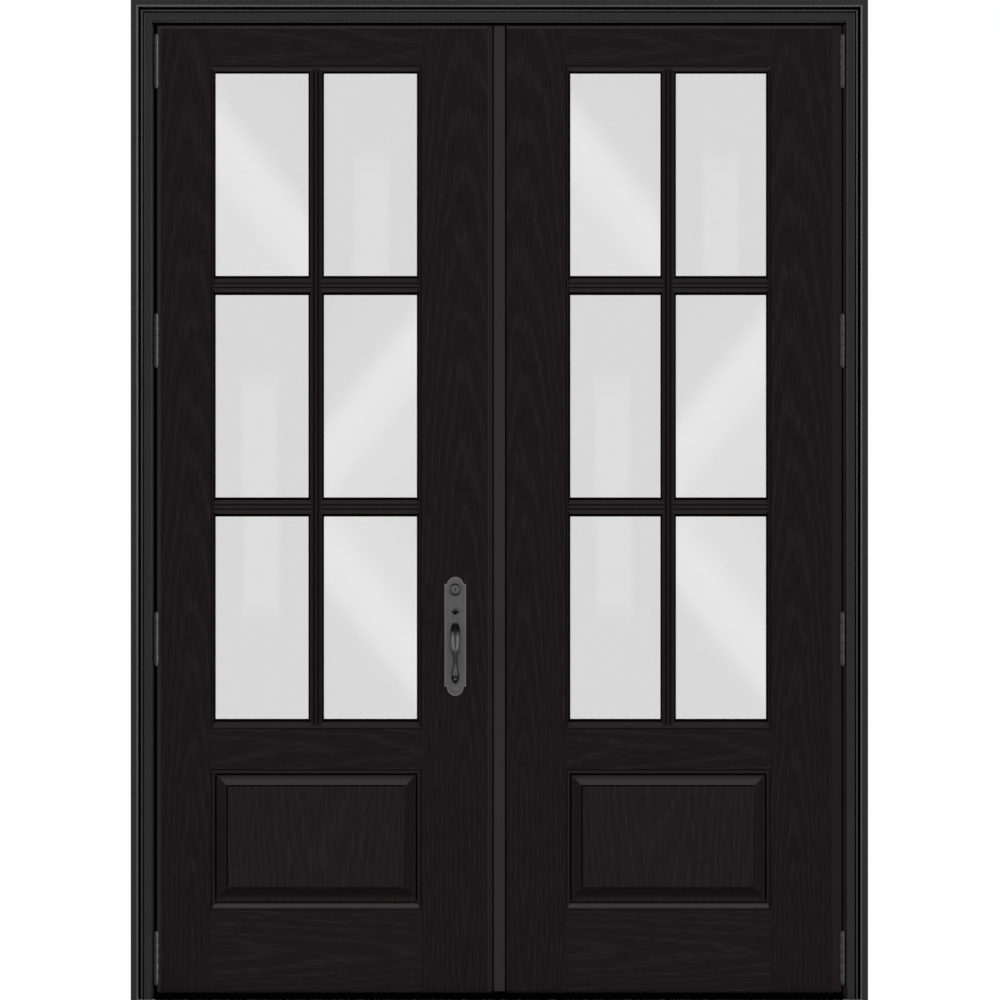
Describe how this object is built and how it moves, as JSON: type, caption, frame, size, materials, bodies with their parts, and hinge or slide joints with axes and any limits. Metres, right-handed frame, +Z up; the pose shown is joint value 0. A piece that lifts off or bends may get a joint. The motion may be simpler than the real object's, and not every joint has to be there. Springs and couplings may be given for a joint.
{
  "type": "french doors with frame",
  "caption": "Pair of outward-opening glazed doors with raised panels in a cased frame, with sill, hinges, thumb-latch handleset, deadbolt and flush bolts.",
  "frame": {"origin": "under the middle of the sill, in the plane of the leaves' outer faces", "axes": "+X along the doorway to the right as seen from outdoors, +Y indoors, +Z up"},
  "size_m": [1.846, 0.169, 2.5055],
  "materials": {
    "frame_paint": "satin dark grey paint",
    "leaf_wood": "satin black stain over an open woodgrain",
    "strip_paint": "satin dark grey paint",
    "sill_metal": "black anodised",
    "clear_glass": "clear",
    "spacer": "matte black",
    "seal_rubber": "matte black",
    "guide_plastic": "matte black",
    "hinge_metal": "dark satin",
    "pewter": "dark satin pewter",
    "plain_steel": "plain steel"
  },
  "bodies": {
    "frame": {"left_jamb": "frame_paint", "right_jamb": "frame_paint", "head_jamb": "frame_paint", "left_casing": "frame_paint", "right_casing": "frame_paint", "head_casing": "frame_paint", "sill": "sill_metal", "sill_bumper": "seal_rubber", "weatherstrip": "seal_rubber", "frame_hinge_plates": "hinge_metal", "frame_hinge_screws": "plain_steel", "hinge_pins": "hinge_metal", "head_keeper": "plain_steel"},
    "active_leaf": {"active_hinge_stile": "leaf_wood", "active_lock_stile": "leaf_wood", "active_top_rail": "leaf_wood", "active_lock_rail": "leaf_wood", "active_bottom_rail": "leaf_wood", "active_panel": "leaf_wood", "active_panel_mouldings": "leaf_wood", "active_glass_panes": "clear_glass", "active_glass_spacer": "spacer", "active_outer_glazing_bars": "leaf_wood", "active_inner_glazing_bars": "leaf_wood", "active_hinge_plates": "hinge_metal", "active_hinge_screws": "plain_steel", "active_sweep": "seal_rubber", "lock_case": "plain_steel", "lock_faceplate": "pewter", "outside_plate": "pewter", "lock_cylinder": "pewter", "pull_grip": "pewter", "inside_plate": "pewter", "trim_screws": "pewter"},
    "passive_leaf": {"passive_hinge_stile": "leaf_wood", "passive_meeting_stile": "leaf_wood", "passive_top_rail": "leaf_wood", "passive_lock_rail": "leaf_wood", "passive_bottom_rail": "leaf_wood", "passive_panel": "leaf_wood", "passive_panel_mouldings": "leaf_wood", "passive_glass_panes": "clear_glass", "passive_glass_spacer": "spacer", "passive_outer_glazing_bars": "leaf_wood", "passive_inner_glazing_bars": "leaf_wood", "passive_hinge_plates": "hinge_metal", "passive_hinge_screws": "plain_steel", "passive_sweep": "seal_rubber", "astragal": "strip_paint", "astragal_seal": "seal_rubber", "strike_plate": "pewter", "flush_bolt_guides": "guide_plastic"},
    "thumb_lever": {"thumbpiece": "pewter"},
    "knob": {"inside_knob": "pewter"},
    "latch": {"latch_bolt": "plain_steel"},
    "dead_bolt": {"deadbolt": "plain_steel"},
    "turn": {"thumbturn": "pewter"},
    "plug": {"cylinder_plug": "plain_steel"},
    "top_bolt": {"top_flush_bolt": "plain_steel"},
    "bottom_bolt": {"bottom_flush_bolt": "plain_steel"}
  },
  "joints": [
    {"name": "active_swing", "type": "hinge", "parent": "frame", "child": "active_leaf", "pos_m": [-0.8595, -0.0065, 0], "axis": [0, 0, -1], "range_deg": [0, 115]},
    {"name": "passive_swing", "type": "hinge", "parent": "frame", "child": "passive_leaf", "pos_m": [0.8595, -0.0065, 0], "axis": [0, 0, 1], "range_deg": [0, 115]},
    {"name": "latch_throw", "type": "slide", "parent": "active_leaf", "child": "latch", "axis": [1, 0, 0], "range_m": [0, 0.0127]},
    {"name": "knob_turn", "type": "hinge", "parent": "active_leaf", "child": "knob", "pos_m": [-0.1105, 0.05, 0.9685], "axis": [0, 1, 0], "range_deg": [0, 50.1]},
    {"name": "thumb_lift", "type": "hinge", "parent": "active_leaf", "child": "thumb_lever", "pos_m": [-0.1105, 0.0022, 0.9685], "axis": [-1, 0, 0], "range_deg": [0, 12.1]},
    {"name": "deadbolt_throw", "type": "slide", "parent": "active_leaf", "child": "dead_bolt", "axis": [1, 0, 0], "range_m": [0, 0.025]},
    {"name": "thumbturn_turn", "type": "hinge", "parent": "active_leaf", "child": "turn", "pos_m": [-0.1105, 0.05, 1.028], "axis": [0, 1, 0], "range_deg": [0, 90.1]},
    {"name": "plug_turn", "type": "hinge", "parent": "active_leaf", "child": "plug", "pos_m": [-0.1105, 0, 1.028], "axis": [0, 1, 0], "range_deg": [0, 90.1]},
    {"name": "top_bolt_slide", "type": "slide", "parent": "passive_leaf", "child": "top_bolt", "axis": [0, 0, 1], "range_m": [0, 0.016]},
    {"name": "bottom_bolt_slide", "type": "slide", "parent": "passive_leaf", "child": "bottom_bolt", "axis": [0, 0, -1], "range_m": [0, 0.016]}
  ],
  "couplings": [
    {"joint": "knob_turn", "follows": "latch_throw", "rad_per_m": 68.714},
    {"joint": "thumb_lift", "follows": "latch_throw", "rad_per_m": 16.491},
    {"joint": "thumbturn_turn", "follows": "deadbolt_throw", "rad_per_m": 62.832},
    {"joint": "plug_turn", "follows": "deadbolt_throw", "rad_per_m": 62.832}
  ]
}
